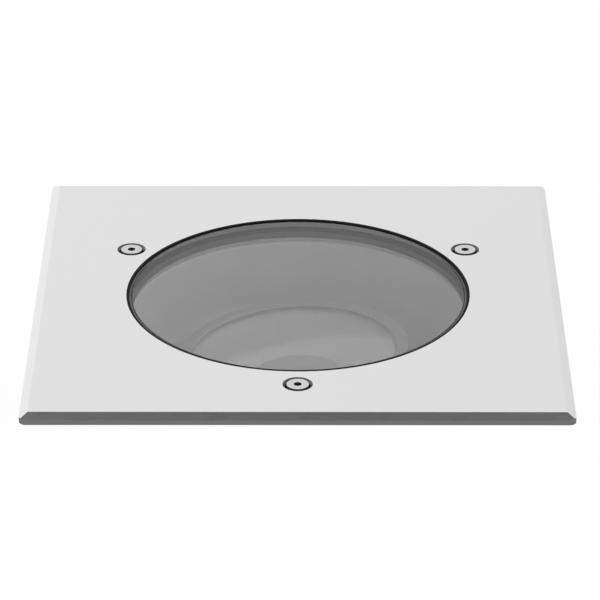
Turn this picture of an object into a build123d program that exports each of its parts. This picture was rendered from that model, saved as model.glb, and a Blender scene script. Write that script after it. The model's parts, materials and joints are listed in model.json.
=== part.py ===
from build123d import *
import os

# In-ground light: a square steel cover plate with a round walk-over glass, screwed down on a
# cast housing that stands in an installation pot, with a lamp that tilts on two pivots.
# Millimetres, +Z up. The origin is the middle of the plate, in the plane of the paving that
# the plate's border lies on.

# Clearances and overrun
fit_clearance = 0.05
flat_gap = 0.1
drop_in_gap = 0.4
overrun = 2.0

# Cover plate, which sets the rings under it
plate_side = 215.0
paving_border_share = 0.0442
plate_thickness = 4.0
plate_chamfer_run = 3.4
plate_chamfer_drop = 1.9
plate_corner_radius = 3.0
opening_setback = 10.5
rim_seat_depth = 0.5
rim_seat_clearance = 1.0

# Walk-over glass, stepped so that the plate holds it down by its rim
glass_thickness = 10.0
glass_recess = 0.5
glass_step_height = 4.0
glass_step_width = 2.8
glass_bevel_run = 1.2
glass_bevel_drop = 0.4
glass_arris = 0.6

# Seal round the glass
seal_neck_thickness = 1.0
seal_recess = 0.1
seal_lip_thickness = 1.0
seal_lip_setback = 0.4

# Collar welded under the plate, which carries the glass
collar_wall = 1.5
collar_ledge_reach = 2.1
collar_ledge_height = 4.2
collar_edge_chamfer = 1.0

# Captive cover screws, M5 countersunk with a hexagon socket
screw_setback = 10.5
screw_angles = {"front": -90, "right": 30, "left": 150}
screw_radius = 2.5
screw_head_radius = 4.5
screw_head_chamfer = 0.15
screw_tip_chamfer = 0.6
screw_hole_radius = 2.75
countersink_radius = 6.0
socket_across_flats = 3.0
socket_depth = 2.2
screw_travel = 8.0
screw_engagement = 7.6
screw_neck_radius = 2.0
washer_radius = 3.9
washer_thickness = 0.8
washer_pocket_clearance = 0.4
washer_floor_gap = 0.4
washer_passage_clearance = 0.6

# Threaded inserts
insert_radius = 3.4
insert_length = 8.0
insert_groove_depth = 0.3
insert_groove_width = 1.0
insert_run_out = 1.0

# Cylinder-head screws
head_edge_share = 0.2
screw_tip_share = 0.2
socket_floor_share = 0.35

# Flange gasket and cast housing
gasket_thickness = 2.0
gasket_edge_margin = 0.4
gasket_flange_margin = 0.5
flange_thickness = 6.0
flange_edge_radius = 1.0
pocket_wall = 3.0
cup_setback = 1.5
cup_wall = 3.0
cup_floor_thickness = 4.0
cup_foot_share = 0.8056
cup_foot_height = 58.0
shoulder_height = 24.0
cup_foot_chamfer = 5.0
boss_radius = 6.5
boss_floor = 1.5
boss_nose = 4.0
fin_count = 18
fin_thickness = 2.4
fin_top = 36.0
fin_setback = 8.5
fin_foot_reach = 6.0
fin_foot_gap = 8.0
fin_slope = 7.0

# Screws that hold the housing in the pot
housing_screw_setback = 6.0
housing_screw_angles = (90, 210, 330)
housing_screw_head_radius = 4.6
housing_screw_head_height = 3.0
housing_screw_length = 14.0
housing_screw_hole_radius = 2.8
head_pocket_clearance = 0.5
head_pocket_depth = 3.4

# Installation pot
cable_room_height = 18.4
pot_floor_thickness = 4.0
pot_wall = 3.0
pot_taper = 3.0
pot_rim_lip = 7.0
pot_rim_wall = 6.0
pot_rim_height = 12.0
pot_rim_top_gap = 0.3
pot_flange_clearance = 0.5
pot_rib_count = 12
pot_rib_thickness = 3.0
pot_rib_top = 22.0
pot_rib_reach = 4.5
pot_rib_gap = 14.0
pot_hoop_shares = (0.33, 0.6)
pot_hoop_height = 4.0
pot_hoop_reach = 3.0
pot_boss_radius = 5.2
pot_boss_length = 24.0
pot_screw_hole_depth = 12.0
pot_drain_radius = 4.0
pot_drain_setback = 26.0
pot_drain_count = 6
spout_rise = 19.0
spout_radius = 15.5
spout_reach = 5.0
conduit_radius = 12.6
conduit_seat_length = 15.0
spout_mouth_radius = 9.5
spout_web = 3.0

# Rubber grommets in the pot's conduit entries
grommet_flange_radius = 12.0
grommet_flange_thickness = 1.5
grommet_bore_radius = 4.5

# Reflector bowl, spun from sheet
bowl_sheet = 1.2
bowl_rim_gap = 0.3
bowl_waist_share = 0.886
bowl_waist_height = 13.0
bowl_foot_share = 0.7164
bowl_foot_rise = 10.0
bowl_rim_bend = 1.2
bowl_waist_bend = 14.0
bowl_bead_radius = 0.9

# Tilting gear
pivot_depth = 60.0
lamp_lean = 4.5
strap_thickness = 1.5
strap_bend_radius = 3.0
strap_width = 14.0
cradle_arm_gap = 0.5
lamp_floor_gap = 18.2
pivot_washer_thickness = 0.5
pivot_washer_radius = 5.5
bracket_base_width = 24.0
bracket_base_rise = 22.0
bracket_screw_share = 0.633
bracket_screw_radius = 2.0
bracket_screw_head_radius = 3.5
bracket_screw_head_height = 2.2
bracket_screw_length = 9.0
pivot_screw_radius = 2.5
pivot_head_radius = 4.2
pivot_head_height = 2.4
pivot_nut_flats = 8.0
pivot_nut_thickness = 4.0
pivot_tail = 1.0

# Lamp, measured along its own axis from the pivot
lamp_face_height = 30.4
lamp_rim_gap = 0.5
bezel_width = 5.7
bezel_lip = 1.2
bezel_skirt_height = 6.6
bezel_wall = 2.2
bezel_edge_radius = 0.6
lens_thickness = 1.5
dish_sheet = 0.8
dish_rim_width = 1.8
dish_foot_share = 0.4433
dish_foot_height = 16.6
led_holder_rise = 0.5
led_holder_height = 2.6
led_holder_lip = 3.2
led_window_radius = 8.8
led_board_inset = 1.5
led_board_thickness = 1.6
led_emitter_gap = 0.3
led_emitter_thickness = 1.4
sink_fin_count = 24
sink_fin_thickness = 1.8
sink_core_rim = 6.0
sink_fin_reach = 6.0
sink_foot_height = -26.0
sink_tray_thickness = 3.0
sink_edge_thickness = 1.5
neck_flange = 2.3
neck_flare = 3.5
neck_height = 7.5
cap_radius = 13.2
cap_height = 21.0
cap_tip_radius = 9.0
cap_tip_height = 2.5
contact_radius = 4.8
contact_height = 1.6

# Lamp holder
holder_radius = 21.0
holder_foot_radius = 18.0
holder_mouth_gap = 0.8
holder_height = 44.0
holder_bore_clearance = 0.8
holder_bore_depth = 29.5
holder_groove_depth = 1.2
holder_groove_width = 2.5
holder_groove_depths = (8.0, 16.0)
shell_wall = 0.5
shell_height = 18.0
shell_top_gap = 2.0
tongue_width = 6.0
tongue_length = 11.0
tongue_thickness = 0.5
holder_screw_spacing = 22.0
holder_screw_radius = 1.5
holder_screw_head_radius = 2.8
holder_screw_head_height = 1.6
holder_screw_length = 8.0
lead_hole_radius = 4.0

# Terminal block and earth screw
terminal_pole_count = 3
terminal_pole_pitch = 10.0
terminal_length = 17.0
terminal_base_height = 6.0
terminal_barrel_radius = 4.6
terminal_setback = 13.0
terminal_tube_radius = 2.4
terminal_tube_bore_radius = 1.6
terminal_tube_inset = 1.0
terminal_screw_radius = 1.3
terminal_screw_spacing = 7.0
terminal_screw_sink = 0.8
terminal_slot_width = 0.5
terminal_slot_depth = 0.6
earth_setback = 12.0
earth_pad_radius = 5.0
earth_pad_height = 3.0
earth_screw_radius = 2.0
earth_head_flats = 7.0
earth_head_height = 2.8
earth_washer_radius = 4.4
earth_washer_thickness = 0.8
earth_screw_reach = 5.0

# Cable glands, M20
gland_back_share = 0.5345
gland_side_share = 0.4483
gland_thread_radius = 10.0
gland_thread_rise = 2.0
gland_boss_radius = 14.0
gland_boss_height = 6.0
gland_hex_flats = 24.0
gland_hex_height = 6.0
gland_spigot_radius = 9.2
gland_spigot_height = 7.5
gland_bore_radius = 6.5
gland_seal_radius = 7.6
gland_seal_bore_radius = 4.5
gland_seal_length = 10.0
gland_nut_flats = 22.0
gland_nut_height = 13.0
gland_nut_gap = 0.6
gland_nut_chamfer = 2.5


# Rings that follow from the plate's side
pot_rim_radius = plate_side / 2 - plate_side * paving_border_share
rim_seat_radius = pot_rim_radius + rim_seat_clearance
pot_well_radius = pot_rim_radius - pot_rim_wall
pot_radius = pot_rim_radius - pot_rim_lip
pot_foot_radius = pot_radius - pot_taper
pot_drain_circle = pot_foot_radius - pot_drain_setback
spout_end = pot_rim_radius + spout_reach
flange_radius = pot_well_radius - pot_flange_clearance
housing_screw_circle = flange_radius - housing_screw_setback
fin_reach_radius = flange_radius - fin_setback
screw_circle_radius = flange_radius - screw_setback
opening_radius = screw_circle_radius - opening_setback
collar_bore_radius = opening_radius - collar_ledge_reach
cup_radius = opening_radius + cup_setback
cup_foot_radius = cup_radius * cup_foot_share
bowl_waist_radius = collar_bore_radius * bowl_waist_share
bowl_foot_radius = collar_bore_radius * bowl_foot_share
lamp_rim_radius = bowl_foot_radius - lamp_rim_gap
bezel_window_radius = lamp_rim_radius - bezel_width
dish_foot_radius = lamp_rim_radius * dish_foot_share
led_board_radius = dish_foot_radius - led_board_inset
cradle_arm_inside = lamp_rim_radius + cradle_arm_gap
bracket_screw_circle = cradle_arm_inside * bracket_screw_share
neck_foot_radius = cap_radius + neck_flange
sink_core_foot_radius = neck_foot_radius + neck_flare
sink_core_top_radius = led_board_radius + sink_core_rim
sink_fin_foot_radius = sink_core_foot_radius + sink_fin_reach
terminal_place = cup_foot_radius - terminal_setback
earth_place = cup_foot_radius - earth_setback
gland_back = -cup_foot_radius * gland_back_share
gland_side = cup_foot_radius * gland_side_share
gland_places = ((gland_back, gland_side), (gland_back, -gland_side))

# Heights that follow from the glass, the screws and the lamp
seat_ceiling = rim_seat_depth
glass_top = plate_thickness - glass_recess
glass_bottom = glass_top - glass_thickness
glass_shoulder = glass_top - glass_step_height
glass_face_radius = opening_radius - seal_neck_thickness - 2 * fit_clearance
glass_rim_radius = glass_face_radius + glass_step_width
seal_outer_radius = glass_rim_radius + fit_clearance + seal_lip_thickness
collar_inside_radius = seal_outer_radius + fit_clearance
collar_outside_radius = collar_inside_radius + collar_wall
collar_ledge_top = glass_bottom - seal_lip_thickness
collar_bottom = collar_ledge_top - collar_ledge_height
pocket_radius = collar_outside_radius + drop_in_gap
bowl_seat = collar_bottom - bowl_rim_gap - bowl_sheet
pocket_foot = bowl_seat - 2 * pocket_wall
washer_top = seat_ceiling - screw_travel
washer_bottom = washer_top - washer_thickness
washer_pocket_floor = washer_bottom - washer_floor_gap
washer_pocket_radius = washer_radius + washer_pocket_clearance
insert_bottom = washer_pocket_floor - insert_length
screw_tip = washer_pocket_floor - screw_engagement
insert_bore_radius = screw_radius + fit_clearance
insert_hole_radius = insert_radius + fit_clearance
flange_top = seat_ceiling - gasket_thickness
flange_bottom = flange_top - flange_thickness
head_pocket_floor = flange_top - head_pocket_depth
pot_rim_top = seat_ceiling - pot_rim_top_gap
bowl_foot = -pivot_depth + bowl_foot_rise
bowl_waist = bowl_foot + bowl_waist_height
bracket_arm_inside = cradle_arm_inside + strap_thickness + pivot_washer_thickness + 2 * flat_gap
bracket_arm_outside = bracket_arm_inside + strap_thickness
lens_top = lamp_face_height - bezel_lip
dish_top = lens_top - lens_thickness
tray_top = dish_top - dish_sheet
skirt_foot = lamp_face_height - bezel_skirt_height
bezel_bore_radius = lamp_rim_radius - bezel_wall
sink_top_radius = bezel_bore_radius - fit_clearance
led_holder_top = dish_foot_height + led_holder_rise
led_board_top = led_holder_top - led_holder_height
led_board_bottom = led_board_top - led_board_thickness
neck_foot = sink_foot_height - neck_height
cap_foot = neck_foot - cap_height
cap_end = cap_foot - cap_tip_height
contact_end = cap_end - contact_height
holder_mouth = neck_foot - holder_mouth_gap
holder_foot = holder_mouth - holder_height
holder_bore_radius = cap_radius + holder_bore_clearance
holder_bore_floor = holder_mouth - holder_bore_depth
floor_inside = -pivot_depth + holder_foot - strap_thickness - lamp_floor_gap
floor_outside = floor_inside - cup_floor_thickness
shoulder_bottom = floor_inside + cup_foot_height
shoulder_top = shoulder_bottom + shoulder_height
fin_bottom = floor_inside + fin_foot_gap
gland_face = floor_outside - gland_boss_height
gland_nut_top = gland_face - gland_hex_height - gland_nut_gap
gland_nut_bottom = gland_nut_top - gland_nut_height
gland_seal_bottom = gland_nut_top - gland_spigot_height
gland_seal_top = gland_seal_bottom + gland_seal_length
pot_floor = gland_nut_bottom - cable_room_height
pot_bottom = pot_floor - pot_floor_thickness
spout_height = pot_bottom + spout_rise


# Helpers
standing = (Align.CENTER, Align.CENTER, Align.MIN)


def turned(*outline):
    """A solid turned about the vertical axis from a closed outline of (radius, height) points."""
    points = [(radius, 0, height) for radius, height in outline]
    return revolve(make_face(Polyline(*points, close=True)), Axis.Z)


def tube(inside, outside, bottom, top):
    return turned((inside, bottom), (outside, bottom), (outside, top), (inside, top))


def rod(radius, bottom, top):
    return Pos(0, 0, bottom) * Cylinder(radius, top - bottom, align=standing)


def hexagon(across_flats, bottom, top):
    outline = RegularPolygon(across_flats / 2, 6, major_radius=False)
    return Pos(0, 0, bottom) * extrude(outline, top - bottom)


def around(radius, angle):
    """The place on a circle about the vertical axis, facing outwards."""
    return Rot(0, 0, angle) * Pos(radius, 0, 0)


def ring_of(count, piece, first_angle=0):
    """Copies of a piece, spread evenly about the vertical axis."""
    return [Rot(0, 0, first_angle + 360 * step / count) * piece for step in range(count)]


def plate_of(outline, thickness):
    """A flat plate that stands in the XZ plane, from a closed outline of (x, z) points."""
    points = [(x, 0, z) for x, z in outline]
    face = make_face(Polyline(*points, close=True))
    return extrude(face, thickness / 2, both=True)


def between(body, bottom, top):
    """The part of a body between two heights. A moulding or casting is kept in such parts, face to face."""
    return body & rod(plate_side, bottom, top)


def group(pieces):
    """Separate solids kept together in one node."""
    return Compound(children=[solid for piece in pieces for solid in piece.solids()])


def socket_screw(radius, head_radius, head_height, length, socket):
    """A cylinder-head screw whose head stands on z = 0 and whose shank runs down."""
    edge = head_height * head_edge_share
    tip = radius * screw_tip_share
    screw = turned(
        (0, -length),
        (radius - tip, -length),
        (radius, tip - length),
        (radius, 0),
        (head_radius, 0),
        (head_radius, head_height - edge),
        (head_radius - edge, head_height),
        (0, head_height),
    )
    return screw - hexagon(socket, head_height * socket_floor_share, head_height + overrun)


def lean(piece):
    """Put a piece, drawn upright about the pivot, in its leaning place in the housing."""
    return Pos(0, 0, -pivot_depth) * Rot(0, -lamp_lean, 0) * piece


# Cover plate: mitred chamfers above, rounded corners, a shallow seat over the pot's rim below
def cover_plate():
    land = plate_thickness - plate_chamfer_drop
    top_side = plate_side - 2 * plate_chamfer_run
    lower = extrude(Rectangle(plate_side, plate_side), land)
    upper = loft(
        [
            Pos(0, 0, land) * Rectangle(plate_side, plate_side),
            Pos(0, 0, plate_thickness) * Rectangle(top_side, top_side),
        ],
        ruled=True,
    )
    corners = extrude(RectangleRounded(plate_side, plate_side, plate_corner_radius), plate_thickness)
    plate = (lower + upper) & corners
    plate -= rod(opening_radius, -overrun, plate_thickness + overrun)
    plate -= rod(rim_seat_radius, -overrun, seat_ceiling)
    cone_foot = plate_thickness - (countersink_radius - screw_hole_radius)
    countersink = turned(
        (0, -overrun),
        (screw_hole_radius, -overrun),
        (screw_hole_radius, cone_foot),
        (countersink_radius, plate_thickness),
        (countersink_radius, plate_thickness + overrun),
        (0, plate_thickness + overrun),
    )
    for angle in screw_angles.values():
        plate -= around(screw_circle_radius, angle) * countersink
    return plate


def glass():
    return turned(
        (0, glass_bottom),
        (glass_rim_radius - glass_arris, glass_bottom),
        (glass_rim_radius, glass_bottom + glass_arris),
        (glass_rim_radius, glass_shoulder),
        (glass_face_radius, glass_shoulder),
        (glass_face_radius, glass_top - glass_bevel_drop),
        (glass_face_radius - glass_bevel_run, glass_top),
        (0, glass_top),
    )


def glass_seal():
    neck_inside = glass_face_radius + fit_clearance
    rim_inside = glass_rim_radius + fit_clearance
    lip_inside = collar_bore_radius + seal_lip_setback
    neck_top = plate_thickness - seal_recess
    return turned(
        (neck_inside, neck_top),
        (opening_radius - fit_clearance, neck_top),
        (opening_radius - fit_clearance, seat_ceiling),
        (seal_outer_radius, seat_ceiling),
        (seal_outer_radius, collar_ledge_top),
        (lip_inside, collar_ledge_top),
        (lip_inside, glass_bottom),
        (rim_inside, glass_bottom),
        (rim_inside, glass_shoulder),
        (neck_inside, glass_shoulder),
    )


def glass_collar():
    return turned(
        (collar_inside_radius, seat_ceiling),
        (collar_outside_radius, seat_ceiling),
        (collar_outside_radius, collar_bottom + collar_edge_chamfer),
        (collar_outside_radius - collar_edge_chamfer, collar_bottom),
        (collar_bore_radius, collar_bottom),
        (collar_bore_radius, collar_ledge_top),
        (collar_inside_radius, collar_ledge_top),
    )


# Cover screws: the neck under the thread-free shank carries the washer that keeps them captive
def cover_screw():
    land_foot = plate_thickness - (countersink_radius - fit_clearance - screw_head_radius)
    cone_foot = plate_thickness - (countersink_radius - fit_clearance - screw_radius)
    screw = turned(
        (0, screw_tip),
        (screw_radius - screw_tip_chamfer, screw_tip),
        (screw_radius, screw_tip + screw_tip_chamfer),
        (screw_radius, washer_bottom - flat_gap),
        (screw_neck_radius, washer_bottom - flat_gap),
        (screw_neck_radius, washer_top + flat_gap),
        (screw_radius, washer_top + flat_gap),
        (screw_radius, cone_foot),
        (screw_head_radius, land_foot),
        (screw_head_radius, plate_thickness - screw_head_chamfer),
        (screw_head_radius - screw_head_chamfer, plate_thickness),
        (0, plate_thickness),
    )
    socket_floor = plate_thickness - socket_depth
    return screw - hexagon(socket_across_flats, socket_floor, plate_thickness + overrun)


def retaining_washer():
    return tube(screw_neck_radius + flat_gap, washer_radius, washer_bottom, washer_top)


def threaded_insert(top):
    """A pressed-in threaded bush with a groove round its middle."""
    bottom = top - insert_length
    middle = (top + bottom) / 2
    bush = tube(insert_bore_radius, insert_radius, bottom, top)
    groove = tube(
        insert_radius - insert_groove_depth,
        insert_radius + overrun,
        middle - insert_groove_width / 2,
        middle + insert_groove_width / 2,
    )
    return bush - groove


def cover_screw_inserts():
    bush = threaded_insert(washer_pocket_floor)
    return group([around(screw_circle_radius, angle) * bush for angle in screw_angles.values()])


def flange_gasket():
    inside = pocket_radius + gasket_edge_margin
    outside = flange_radius - gasket_flange_margin
    ring = tube(inside, outside, flange_top, seat_ceiling)
    passage = rod(washer_radius + washer_passage_clearance, flange_top - overrun, seat_ceiling + overrun)
    for angle in screw_angles.values():
        ring -= around(screw_circle_radius, angle) * passage
    return ring


# Cast housing: flange, pocket for the collar, cup, bosses and cooling fins
def housing_fin():
    root = cup_radius + cup_wall / 2
    foot_root = cup_foot_radius + cup_wall / 2
    foot_reach = cup_foot_radius + cup_wall + fin_foot_reach
    return plate_of(
        [
            (root, -fin_top),
            (fin_reach_radius - fin_slope, -fin_top),
            (fin_reach_radius, -fin_top - fin_slope),
            (fin_reach_radius, shoulder_top),
            (foot_reach, shoulder_bottom - fin_slope),
            (foot_reach, fin_bottom + fin_slope),
            (foot_root, fin_bottom),
            (foot_root, shoulder_bottom),
            (root, shoulder_top),
        ],
        fin_thickness,
    )


def housing_outline():
    """The casting's turned outside, solid all through."""
    pocket_outside = pocket_radius + pocket_wall
    foot_outside = cup_foot_radius + cup_wall
    return turned(
        (0, floor_outside),
        (foot_outside - cup_foot_chamfer, floor_outside),
        (foot_outside, floor_outside + cup_foot_chamfer),
        (foot_outside, shoulder_bottom),
        (cup_radius + cup_wall, shoulder_top),
        (cup_radius + cup_wall, pocket_foot),
        (pocket_outside, bowl_seat - pocket_wall),
        (pocket_outside, flange_bottom),
        (flange_radius - flange_edge_radius, flange_bottom),
        (flange_radius, flange_bottom + flange_edge_radius),
        (flange_radius, flange_top),
        (0, flange_top),
    )


def fins_at(angles):
    return [Rot(0, 0, angle) * housing_fin() for angle in angles]


def housing_casting():
    """The whole casting but the fins that stand clear of the screw bosses."""
    body = housing_outline()
    boss_foot = insert_bottom - insert_run_out - boss_floor
    boss = rod(boss_radius, boss_foot, flange_top - overrun)
    nose = Cone(boss_radius / 2, boss_radius, boss_nose, align=standing)
    nose = Pos(0, 0, boss_foot - boss_nose) * nose
    for angle in screw_angles.values():
        body += around(screw_circle_radius, angle) * (boss + nose)
    for fin in fins_at(screw_angles.values()):
        body += fin
    for x, y in gland_places:
        body += Pos(x, y, 0) * rod(gland_boss_radius, gland_face, floor_outside + overrun)
    for side in (-1, 1):
        place = Pos(0, side * bracket_screw_circle, 0)
        body += place * rod(boss_radius, gland_face, floor_outside + overrun)
    body -= turned(
        (0, floor_inside),
        (cup_foot_radius, floor_inside),
        (cup_foot_radius, shoulder_bottom),
        (cup_radius, shoulder_top),
        (cup_radius, bowl_seat),
        (pocket_radius, bowl_seat),
        (pocket_radius, flange_top + overrun),
        (0, flange_top + overrun),
    )
    earth_pad = rod(earth_pad_radius, floor_inside - overrun, floor_inside + earth_pad_height)
    body += Pos(-earth_place, 0, 0) * earth_pad
    washer_pocket = rod(washer_pocket_radius, washer_pocket_floor, flange_top + overrun)
    insert_hole = rod(insert_hole_radius, insert_bottom - insert_run_out, washer_pocket_floor + overrun)
    for angle in screw_angles.values():
        place = around(screw_circle_radius, angle)
        body -= place * washer_pocket
        body -= place * insert_hole
    for angle in housing_screw_angles:
        place = around(housing_screw_circle, angle)
        body -= place * rod(
            housing_screw_head_radius + head_pocket_clearance, head_pocket_floor, flange_top + overrun
        )
        body -= place * rod(housing_screw_hole_radius, flange_bottom - overrun, flange_top + overrun)
    gland_hole = rod(gland_thread_radius + fit_clearance, gland_face - overrun, floor_inside + overrun)
    for x, y in gland_places:
        body -= Pos(x, y, 0) * gland_hole
    for side in (-1, 1):
        place = Pos(0, side * bracket_screw_circle, floor_inside)
        body -= place * rod(bracket_screw_radius + fit_clearance, -bracket_screw_length, overrun)
    earth_hole_top = floor_inside + earth_pad_height
    body -= Pos(-earth_place, 0, earth_hole_top) * rod(
        earth_screw_radius + fit_clearance, -earth_screw_reach, overrun
    )
    return body


def housing_fins():
    """The other fins, outside the casting's turned face."""
    pitch = 360 / fin_count
    angles = [(step + 1 / 2) * pitch for step in range(fin_count)]
    taken = [angle % 360 for angle in screw_angles.values()]
    outline = housing_outline()
    return group([fin - outline for fin in fins_at(a for a in angles if a not in taken)])


def housing_screws():
    screw = socket_screw(
        screw_radius,
        housing_screw_head_radius,
        housing_screw_head_height,
        housing_screw_length,
        socket_across_flats,
    )
    seated = Pos(0, 0, head_pocket_floor) * screw
    return group([around(housing_screw_circle, angle) * seated for angle in housing_screw_angles])


# Reflector bowl: one spun sheet with a flat rim, a curved foot and a rolled bead at its hole
def reflector_bowl():
    half = bowl_sheet / 2
    rim = bowl_seat + half
    path = FilletPolyline(
        (pocket_radius - drop_in_gap - half, 0, rim),
        (collar_bore_radius + half, 0, rim),
        (bowl_waist_radius, 0, bowl_waist),
        (bowl_foot_radius, 0, bowl_foot),
        radius=[bowl_rim_bend, bowl_waist_bend],
    )
    sheet = revolve(make_face(offset(path, half, kind=Kind.INTERSECTION, side=Side.BOTH)), Axis.Z)
    bead = revolve(
        Plane.XZ * Pos(bowl_foot_radius, bowl_foot) * Circle(bowl_bead_radius),
        Axis.Z,
    )
    return sheet + bead


# Tilting gear: a fixed bracket on the housing's floor and a cradle that swings in it
def strap(arm_inside, base_top, pivot_height, base_width, base_rise):
    """A U of flat strip, with arms up to a rounded end about the pivot line."""
    half = strap_thickness / 2
    middle = arm_inside + half
    end_radius = strap_width / 2
    arm_top = pivot_height + end_radius
    base = base_top - half
    path = FilletPolyline(
        (0, -middle, arm_top),
        (0, -middle, base),
        (0, middle, base),
        (0, middle, arm_top),
        radius=strap_bend_radius,
    )
    profile = make_face(offset(path, half, kind=Kind.INTERSECTION, side=Side.BOTH))
    strip = extrude(profile, base_width / 2, dir=(1, 0, 0), both=True)
    shoulder = base_top + base_rise
    outline = plate_of(
        [
            (-base_width / 2, base_top - strap_thickness - overrun),
            (base_width / 2, base_top - strap_thickness - overrun),
            (base_width / 2, shoulder),
            (end_radius, shoulder + base_width / 2),
            (end_radius, pivot_height),
            (-end_radius, pivot_height),
            (-end_radius, shoulder + base_width / 2),
            (-base_width / 2, shoulder),
        ],
        2 * (arm_inside + strap_thickness + overrun),
    )
    across = 2 * (arm_inside + strap_thickness + overrun)
    outline += Pos(0, 0, pivot_height) * Rot(90, 0, 0) * Cylinder(end_radius, across)
    hole = Pos(0, 0, pivot_height) * Rot(90, 0, 0) * Cylinder(pivot_screw_radius + fit_clearance, across)
    return (strip & outline) - hole


def tilt_bracket():
    bracket = strap(
        bracket_arm_inside,
        floor_inside + strap_thickness,
        -pivot_depth,
        bracket_base_width,
        bracket_base_rise,
    )
    for side in (-1, 1):
        place = Pos(0, side * bracket_screw_circle, floor_inside)
        bracket -= place * rod(bracket_screw_radius + drop_in_gap, -overrun, strap_thickness + overrun)
    return bracket


def tilt_cradle():
    cradle = strap(cradle_arm_inside, holder_foot, 0, bracket_base_width, bracket_base_rise)
    for side in (-1, 1):
        place = Pos(0, side * holder_screw_spacing / 2, holder_foot)
        cradle -= place * rod(holder_screw_radius + fit_clearance, -strap_thickness - overrun, overrun)
    return cradle - rod(lead_hole_radius, holder_foot - strap_thickness - overrun, holder_foot + overrun)


def bracket_screws():
    screw = socket_screw(
        bracket_screw_radius,
        bracket_screw_head_radius,
        bracket_screw_head_height,
        bracket_screw_length - insert_run_out,
        socket_across_flats,
    )
    height = floor_inside + strap_thickness
    return group([Pos(0, side * bracket_screw_circle, height) * screw for side in (-1, 1)])


def on_pivot(side, piece, distance):
    """Lay an upright piece on the pivot line, with its z = 0 at a distance from the middle."""
    turn = Rot(90, 0, 0) if side < 0 else Rot(-90, 0, 0)
    return Pos(0, side * distance, -pivot_depth) * turn * piece


def pivot_screws():
    length = bracket_arm_outside + pivot_nut_thickness + pivot_tail - cradle_arm_inside + flat_gap
    upright = socket_screw(
        pivot_screw_radius, pivot_head_radius, pivot_head_height, length, socket_across_flats
    )
    outward = Rot(180, 0, 0) * upright
    return group([on_pivot(side, outward, cradle_arm_inside - flat_gap) for side in (-1, 1)])


def pivot_washers():
    washer = tube(pivot_screw_radius + fit_clearance, pivot_washer_radius, 0, pivot_washer_thickness)
    face = cradle_arm_inside + strap_thickness + flat_gap
    return group([on_pivot(side, washer, face) for side in (-1, 1)])


def pivot_nuts():
    nut = hexagon(pivot_nut_flats, 0, pivot_nut_thickness)
    nut -= rod(pivot_screw_radius + fit_clearance, -overrun, pivot_nut_thickness + overrun)
    return group([on_pivot(side, nut, bracket_arm_outside) for side in (-1, 1)])


# Lamp: bezel, lens, dish, light source, finned body, screw cap
def lamp_bezel():
    window_edge = bezel_window_radius + bezel_edge_radius
    return turned(
        (bezel_bore_radius, skirt_foot),
        (lamp_rim_radius, skirt_foot),
        (lamp_rim_radius, lamp_face_height - bezel_edge_radius),
        (lamp_rim_radius - bezel_edge_radius, lamp_face_height),
        (window_edge, lamp_face_height),
        (bezel_window_radius, lamp_face_height - bezel_edge_radius),
        (bezel_window_radius, lens_top),
        (bezel_bore_radius, lens_top),
    )


def lamp_lens():
    return rod(bezel_bore_radius - fit_clearance, dish_top, lens_top)


def lamp_reflector():
    rim_outside = bezel_bore_radius - fit_clearance
    rim_inside = rim_outside - dish_rim_width
    return turned(
        (rim_outside, dish_top),
        (rim_inside, dish_top),
        (dish_foot_radius, dish_foot_height),
        (dish_foot_radius, dish_foot_height - dish_sheet),
        (rim_inside, dish_top - dish_sheet),
        (rim_outside, dish_top - dish_sheet),
    )


def led_holder():
    outside = dish_foot_radius - fit_clearance
    return turned(
        (led_window_radius, led_board_top),
        (outside, led_board_top),
        (outside, led_holder_top - led_holder_rise),
        (outside - led_holder_rise, led_holder_top),
        (led_window_radius + led_holder_lip, led_holder_top),
        (led_window_radius, led_board_top + led_holder_height / 2),
    )


def led_board():
    return rod(led_board_radius, led_board_bottom, led_board_top)


def led_emitter():
    radius = led_window_radius - led_emitter_gap
    return rod(radius, led_board_top, led_board_top + led_emitter_thickness)


def sink_fin():
    tray_edge = tray_top - sink_tray_thickness
    return plate_of(
        [
            (sink_core_foot_radius - sink_fin_thickness, sink_foot_height),
            (sink_fin_foot_radius, sink_foot_height),
            (sink_top_radius, tray_edge - sink_edge_thickness),
            (sink_top_radius, tray_edge),
            (sink_core_top_radius, led_board_bottom),
        ],
        sink_fin_thickness,
    )


def lamp_heat_sink():
    """A tapered core with a tray for the light source and fins down to the neck."""
    body = turned(
        (0, sink_foot_height),
        (sink_core_foot_radius, sink_foot_height),
        (sink_core_top_radius, led_board_bottom - sink_tray_thickness),
        (sink_top_radius, tray_top - sink_tray_thickness),
        (sink_top_radius, tray_top),
        (sink_top_radius - dish_rim_width, tray_top),
        (led_board_radius + fit_clearance + dish_rim_width, led_board_bottom),
        (0, led_board_bottom),
    )
    for fin in ring_of(sink_fin_count, sink_fin(), 180 / sink_fin_count):
        body += fin
    return body


def lamp_neck():
    return turned(
        (0, neck_foot),
        (neck_foot_radius, neck_foot),
        (sink_core_foot_radius, sink_foot_height),
        (0, sink_foot_height),
    )


def lamp_cap():
    return turned(
        (0, cap_end),
        (cap_tip_radius, cap_end),
        (cap_radius, cap_foot),
        (cap_radius, neck_foot),
        (0, neck_foot),
    )


def lamp_contact():
    return turned(
        (0, contact_end),
        (contact_radius - contact_height / 2, contact_end),
        (contact_radius, cap_end),
        (0, cap_end),
    )


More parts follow.
